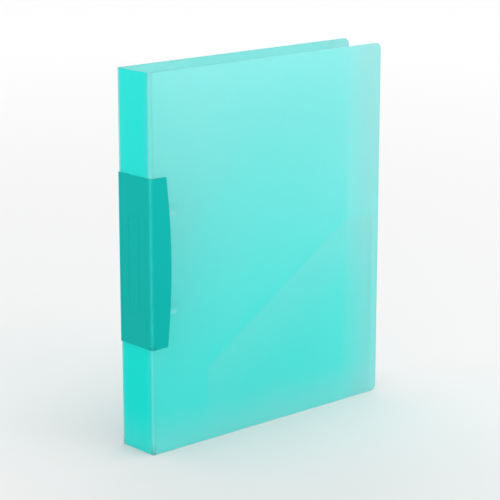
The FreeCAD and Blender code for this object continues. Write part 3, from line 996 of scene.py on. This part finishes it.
@dataclass
class WrapBand:
    """The band that wraps the spine: three flat pieces, two folds and a raised blank name panel."""

    edge: float = 0.22
    low: float = 89.5
    height: float = 141.0
    thickness: float = 0.8
    gap: float = 0.05
    radius: float = 2.0
    web: float = 0.75
    flat: float = 2.6
    panel_middle: tuple[float, float] = (21.0, 157.0)
    panel_size: tuple[float, float] = (13.0, 80.0)
    panel_corner: float = 2.0
    panel_line: float = 0.35
    panel_sunk: float = 0.45

    def outline(self) -> Recipe:
        """A raised line round a rectangle with rounded corners, lying in Y and Z.

        Returns:
            The recipe.
        """
        recipe = Recipe("raised outline")
        width = recipe.ask("Width", "NodeSocketFloat", 0.01)
        height = recipe.ask("Height", "NodeSocketFloat", 0.1)
        corner = recipe.ask("Corner", "NodeSocketFloat", 0.002)
        line = recipe.ask("Line", "NodeSocketFloat", 0.0003)
        middle = recipe.ask("Middle", "NodeSocketVector", (0.0, 0.0, 0.0))
        shape = recipe.node(
            "GeometryNodeCurvePrimitiveQuadrilateral", None, {"Width": width, "Height": height}
        )
        rounded = recipe.node("GeometryNodeFilletCurve", {"mode": "POLY"}, {
            "Curve": shape.outputs[0], "Radius": corner, "Count": 6,
        })
        rod = recipe.node("GeometryNodeCurvePrimitiveCircle", None, {"Resolution": 10, "Radius": line})
        swept = recipe.node("GeometryNodeCurveToMesh", None, {
            "Curve": rounded.outputs[0], "Profile Curve": rod.outputs[0],
        })
        turned = recipe.node("GeometryNodeTransform", None, {
            "Geometry": swept.outputs[0], "Translation": middle,
            "Rotation": (math.pi / 2, 0.0, math.pi / 2),
        })
        recipe.close(turned.outputs[0])
        return recipe

    def build(self, finishes: Finishes) -> None:
        """Builds the band's pieces, its folds and its name panel.

        Args:
            finishes: The binder's finishes.
        """
        flats = (
            ("band_spine", Body.SPINE, BOTH_SIDES),
            ("band_front_tab", Body.FRONT, SPINE_END),
            ("band_back_tab", Body.BACK, SPINE_END),
        )
        for node, body, joined in flats:
            piece = soften(node, f"{node}_sheet", finishes.band, self.edge, joined, self.gap)
            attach(piece, body.value)
        for side in ("front", "back"):
            FoldWeb(
                f"{side}_band_crease", f"{side}_band_fold", self.radius, self.radius - self.web, self.flat,
                self.low, self.height, side == "back",
            ).build(finishes.band, Slot.BAND)
        panel = self.outline().make(
            "band_name_panel", path_mesh("seed", [Vector(), Vector((MM, 0, 0))]), finishes.band,
            Width=self.panel_size[0] * MM, Height=self.panel_size[1] * MM, Corner=self.panel_corner * MM,
            Line=self.panel_line * MM,
            Middle=tuple(at(-self.thickness + self.panel_line * self.panel_sunk, *self.panel_middle)),
        )
        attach(panel, Body.SPINE.value)


@dataclass
class FilmPocket:
    """The film pocket inside the front cover: welded on three sides, open along its slanting mouth.

    The film stands off the cover by up to lift and belly, and t in its methods runs up to the mouth.
    """

    start: float = 59.0
    end: float = 250.0
    turn: float = 216.0
    bottom: float = 3.0
    low: float = 64.0
    high: float = 164.0
    cover: float = 0.8
    film: float = 0.2
    lift: float = 0.55
    belly: float = 0.35
    slack: float = 0.1
    weld_gap: float = 0.03
    weld: float = 3.0
    soft_turn: float = 3.0
    puff_width: float = 9.0
    columns: int = 96
    rows: int = 72
    rib_pitch: float = 1.3
    rib_size: tuple[float, float, float] = (0.5, 0.16, 2.0)
    rib_lift: float = 0.05
    rib_inset: float = 0.1
    rib_end: float = 2.5

    def mouth(self, x: float) -> float:
        """The mouth's height, with the turn at its short level end rounded.

        Args:
            x: Distance from the spine.

        Returns:
            The height in millimetres.
        """
        slope = (self.high - self.low) / (self.turn - self.start)
        line = self.low + slope * (x - self.start)
        return line - self.soft_turn * math.log1p(math.exp((line - self.high) / self.soft_turn))

    def depth(self, x: float, z: float, t: float) -> float:
        """Distance of the film from the cover's inner face at a point of the pocket.

        Args:
            x: Distance from the spine.
            z: Height.
            t: Share of the way from the lower side to the mouth.

        Returns:
            The distance in millimetres.
        """
        near = min(x - self.start, self.end - x, z - self.bottom) - self.weld
        rise = min(1.0, max(0.0, near / self.puff_width))
        rise = rise * rise * (3 - 2 * rise)
        across = (x - self.start) / (self.end - self.start)
        swell = math.sin(math.pi * across) * (0.35 + 0.65 * t)
        wave = 0.12 * math.sin(x * 0.071 + 0.7) * math.sin(z * 0.05 + 0.3)
        wave += 0.06 * math.sin(x * 0.19 + z * 0.11)
        loose = self.lift - self.film + self.belly * swell + wave * (0.3 + 0.7 * t) - self.slack
        return self.weld_gap + rise * loose

    def sheet(self, material: bpy.types.Material) -> bpy.types.Object:
        """The film itself, with its weld and its cut mouth marked for the finish.

        Args:
            material: The film's finish.

        Returns:
            The piece, riding on nothing yet.
        """
        points, welds, rims = [], [], []
        for layer in (0.0, self.film):
            for row in range(self.rows + 1):
                t = row / self.rows
                for column in range(self.columns + 1):
                    x = self.start + (self.end - self.start) * column / self.columns
                    z = self.bottom + (self.mouth(x) - self.bottom) * t
                    points.append(at(x, self.cover + self.depth(x, z, t) + layer, z))
                    near = min(x - self.start, self.end - x, z - self.bottom)
                    welds.append(1.0 if near < self.weld else max(0.0, 1.0 - (near - self.weld) / 1.2))
                    rims.append(1.0 if row == self.rows else 0.0)
        wide, tall = self.columns + 1, self.rows + 1
        faces = []
        for layer in (0, 1):
            base = layer * wide * tall
            for row in range(self.rows):
                for column in range(self.columns):
                    a = base + row * wide + column
                    quad = (a, a + 1, a + 1 + wide, a + wide)
                    faces.append(quad if layer == 0 else quad[::-1])
        border = list(range(wide))
        border += [row * wide + self.columns for row in range(1, tall)]
        border += [self.rows * wide + n for n in range(self.columns - 1, -1, -1)]
        border += [row * wide for row in range(self.rows - 1, 0, -1)]
        size = wide * tall
        for n, a in enumerate(border):
            b = border[(n + 1) % len(border)]
            faces.append((b, a, a + size, b + size))
        mesh = bpy.data.meshes.new("film")
        mesh.from_pydata([tuple(p) for p in points], [], faces)
        shape = bmesh.new()
        shape.from_mesh(mesh)
        bmesh.ops.recalc_face_normals(shape, faces=shape.faces)
        for face in shape.faces:
            face.smooth = abs(face.normal.y) > 0.5
        shape.to_mesh(mesh)
        shape.free()
        mark_points(mesh, "weld", welds)
        mark_points(mesh, "rim", rims)
        piece = finished("pocket_film_sheet", mesh, material)
        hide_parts("inner_pocket")
        return piece

    def ribs(self) -> Recipe:
        """Small pressed ribs laid across a line at an even pitch.

        Returns:
            The recipe.
        """
        recipe = Recipe("weld ribs")
        pitch = recipe.ask("Pitch", "NodeSocketFloat", 0.0013)
        size = recipe.ask("Size", "NodeSocketVector", (0.0003, 0.0001, 0.001))
        line = recipe.node("GeometryNodeMeshToCurve", None, {"Mesh": recipe.start.outputs[0]})
        spaced = recipe.node(
            "GeometryNodeResampleCurve", {"mode": "LENGTH"}, {"Curve": line.outputs[0], "Length": pitch}
        )
        dome = recipe.node("GeometryNodeMeshUVSphere", None, {"Segments": 8, "Rings": 6, "Radius": 1.0})
        smooth = recipe.node(
            "GeometryNodeSetShadeSmooth", None, {"Geometry": dome.outputs[0], "Shade Smooth": True}
        )
        tangent = recipe.node("GeometryNodeInputTangent")
        turn = recipe.node("FunctionNodeAlignRotationToVector", {"axis": "X", "pivot_axis": "Y"}, {
            "Vector": tangent.outputs[0],
        })
        set_out = recipe.node("GeometryNodeInstanceOnPoints", None, {
            "Points": spaced.outputs[0], "Instance": smooth.outputs[0], "Rotation": turn.outputs[0],
            "Scale": size,
        })
        recipe.close(set_out.outputs[0])
        return recipe

    def build(self, finishes: Finishes) -> None:
        """Builds the film and the ribs of its weld.

        Args:
            finishes: The binder's finishes.
        """
        film = self.sheet(finishes.film)
        y = self.cover + self.film + self.rib_lift
        middle = self.weld / 2 + self.rib_inset
        corners = [
            at(self.start + middle, y, self.mouth(self.start + middle) - self.rib_end),
            at(self.start + middle, y, self.bottom + middle),
            at(self.end - middle, y, self.bottom + middle),
            at(self.end - middle, y, self.high - self.rib_end),
        ]
        ribs = self.ribs().make(
            "pocket_weld_ribs", path_mesh("weld line", corners), finishes.film,
            Pitch=self.rib_pitch * MM, Size=tuple(s / 2 * MM for s in self.rib_size),
        )
        mark_points(ribs.data, "weld", [1.0] * len(ribs.data.vertices))
        for piece in (film, ribs):
            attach(piece, Body.FRONT.value)


@dataclass
class RingMechanism:
    """The steel mechanism: an arched housing, two carrier plates, four half rings, rivets and sleeves."""

    sides: tuple[str, str] = ("spine_side", "fore_edge_side")
    levels: tuple[str, str] = ("upper", "lower")

    def dress(self, node: str, material: bpy.types.Material) -> None:
        """Gives a CAD node its finish.

        Args:
            node: The node's name.
            material: The finish.
        """
        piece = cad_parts[node]
        piece.data.materials.clear()
        piece.data.materials.append(material)
        LOG.info("%s: dressed with %s", node, material.name)

    def build(self, finishes: Finishes) -> None:
        """Dresses every part of the mechanism.

        Args:
            finishes: The binder's finishes.
        """
        self.dress("ring_housing", finishes.strip)
        for side in self.sides:
            self.dress(f"{side}_carrier_plate", finishes.zinc)
            for level in self.levels:
                self.dress(f"{level}_ring_{side}_half", finishes.wire)
        for level in self.levels:
            self.dress(f"{level}_rivet", finishes.rivet)
            self.dress(f"{level}_rivet_sleeve", finishes.zinc)


@dataclass
class Studio:
    """A whitish floor with painted shade, darker near the binder and in a soft painted shadow before it;
    soft light all round and the camera.
    """

    floor_size: float = 14.0
    # Painted light: the floor is painted darker near the binder and paler away from it.
    floor_near: Colour = (0.76, 0.76, 0.76)
    floor_far: Colour = (0.97, 0.97, 0.97)
    floor_reach: tuple[float, float] = (0.15, 2.6)
    # Painted shadow: a soft round patch painted darker before the binder; its colour, then its middle and
    # radius in metres.
    painted_shadow_colour: Colour = (0.66, 0.66, 0.66)
    painted_shadow_spot: tuple[float, float, float] = (-0.17, -0.22, 0.42)
    eye: tuple[float, float, float] = (-919.0, -1149.9, 545.8)
    yaw: float = 41.70
    pitch: float = 14.22
    lens: float = 137.4

    def floor(self) -> None:
        """A flat floor painted paler away from the binder as a painted fall-off of light, with a soft
        painted shadow before it.
        """
        mesh = bpy.data.meshes.new("floor")
        half = self.floor_size / 2
        corners = [(-half, -half, 0), (half, -half, 0), (half, half, 0), (-half, half, 0)]
        mesh.from_pydata(corners, [], [(0, 1, 2, 3)])
        g = Graph("floor paint")
        x, y, _ = g.axes()
        away = (x * x + y * y) ** 0.5
        # Painted fall-off of light: darker near the binder, paler away from it.
        colour = g.blend(away.ramp(*self.floor_reach), self.floor_near, self.floor_far)
        # Painted shadow: a soft round patch, darker, before the binder.
        across, along = x - self.painted_shadow_spot[0], y - self.painted_shadow_spot[1]
        painted_shadow = ((across * across + along * along) ** 0.5).ramp(0.0, self.painted_shadow_spot[2])
        colour = g.blend(painted_shadow, self.painted_shadow_colour, colour)
        mottle = g.noise((6, 6, 6), detail=2)
        g.close(g.node("ShaderNodeBsdfPrincipled", None, {
            "Base Color": colour, "Roughness": mottle * 0.1 + 0.8, "Specular IOR Level": 0.1,
        }))
        finished("floor", mesh, g.material)

    def light(
        self, name: str, place: Sequence[float], target: Sequence[float], size: float, power: float
    ) -> None:
        """Adds a square softbox.

        Args:
            name: The light's name.
            place: Where it hangs, in metres.
            target: What it faces.
            size: The length of its side.
            power: Its power in watts.
        """
        lamp = bpy.data.lights.new(name, "AREA")
        lamp.shape, lamp.size, lamp.energy = "SQUARE", size, power
        holder = bpy.data.objects.new(name, lamp)
        holder.location = place
        holder.rotation_euler = (Vector(target) - Vector(place)).to_track_quat("-Z", "Y").to_euler()
        bpy.context.scene.collection.objects.link(holder)

    def sky(self, strength: float) -> None:
        """Even white light from all round.

        Args:
            strength: How bright it is.
        """
        world = bpy.data.worlds.new("studio")
        bpy.context.scene.world = world
        world.use_nodes = True
        light = world.node_tree.nodes["Background"].inputs
        light["Color"].default_value, light["Strength"].default_value = (1.0, 1.0, 1.0, 1.0), strength

    def camera(self) -> None:
        """The camera, level side to side and looking a little down."""
        data = bpy.data.cameras.new("camera")
        data.lens, data.sensor_width = self.lens, 36.0
        data.clip_start, data.clip_end = 0.05, 60.0
        holder = bpy.data.objects.new("camera", data)
        yaw, pitch = math.radians(self.yaw), math.radians(self.pitch)
        ahead = Vector((math.sin(yaw) * math.cos(pitch), math.cos(yaw) * math.cos(pitch), -math.sin(pitch)))
        holder.location = at(*self.eye)
        holder.rotation_euler = ahead.to_track_quat("-Z", "Y").to_euler()
        bpy.context.scene.collection.objects.link(holder)
        bpy.context.scene.camera = holder

    def build(self) -> None:
        """Builds the floor, the lights and the camera."""
        self.floor()
        self.sky(1.0)
        self.light("top softbox", (0.2, -0.3, 1.9), (0.0, 0.0, 0.1), 1.4, 7.0)
        self.light("front softbox", (0.8, -2.0, 0.7), (0.0, 0.0, 0.12), 1.2, 9.0)
        self.light("side softbox", (-1.9, 0.2, 0.6), (0.0, 0.0, 0.12), 1.0, 3.5)
        self.camera()
        bpy.context.scene.view_settings.view_transform = "Standard"


def main() -> None:
    """Builds the binder's pieces in order, then the studio."""
    logging.basicConfig(level=logging.INFO, format="%(name)s %(message)s")
    finishes = Finishes()
    CoverShell().build(finishes)
    WrapBand().build(finishes)
    FilmPocket().build(finishes)
    RingMechanism().build(finishes)
    Studio().build()


if __name__ == "__main__":
    main()
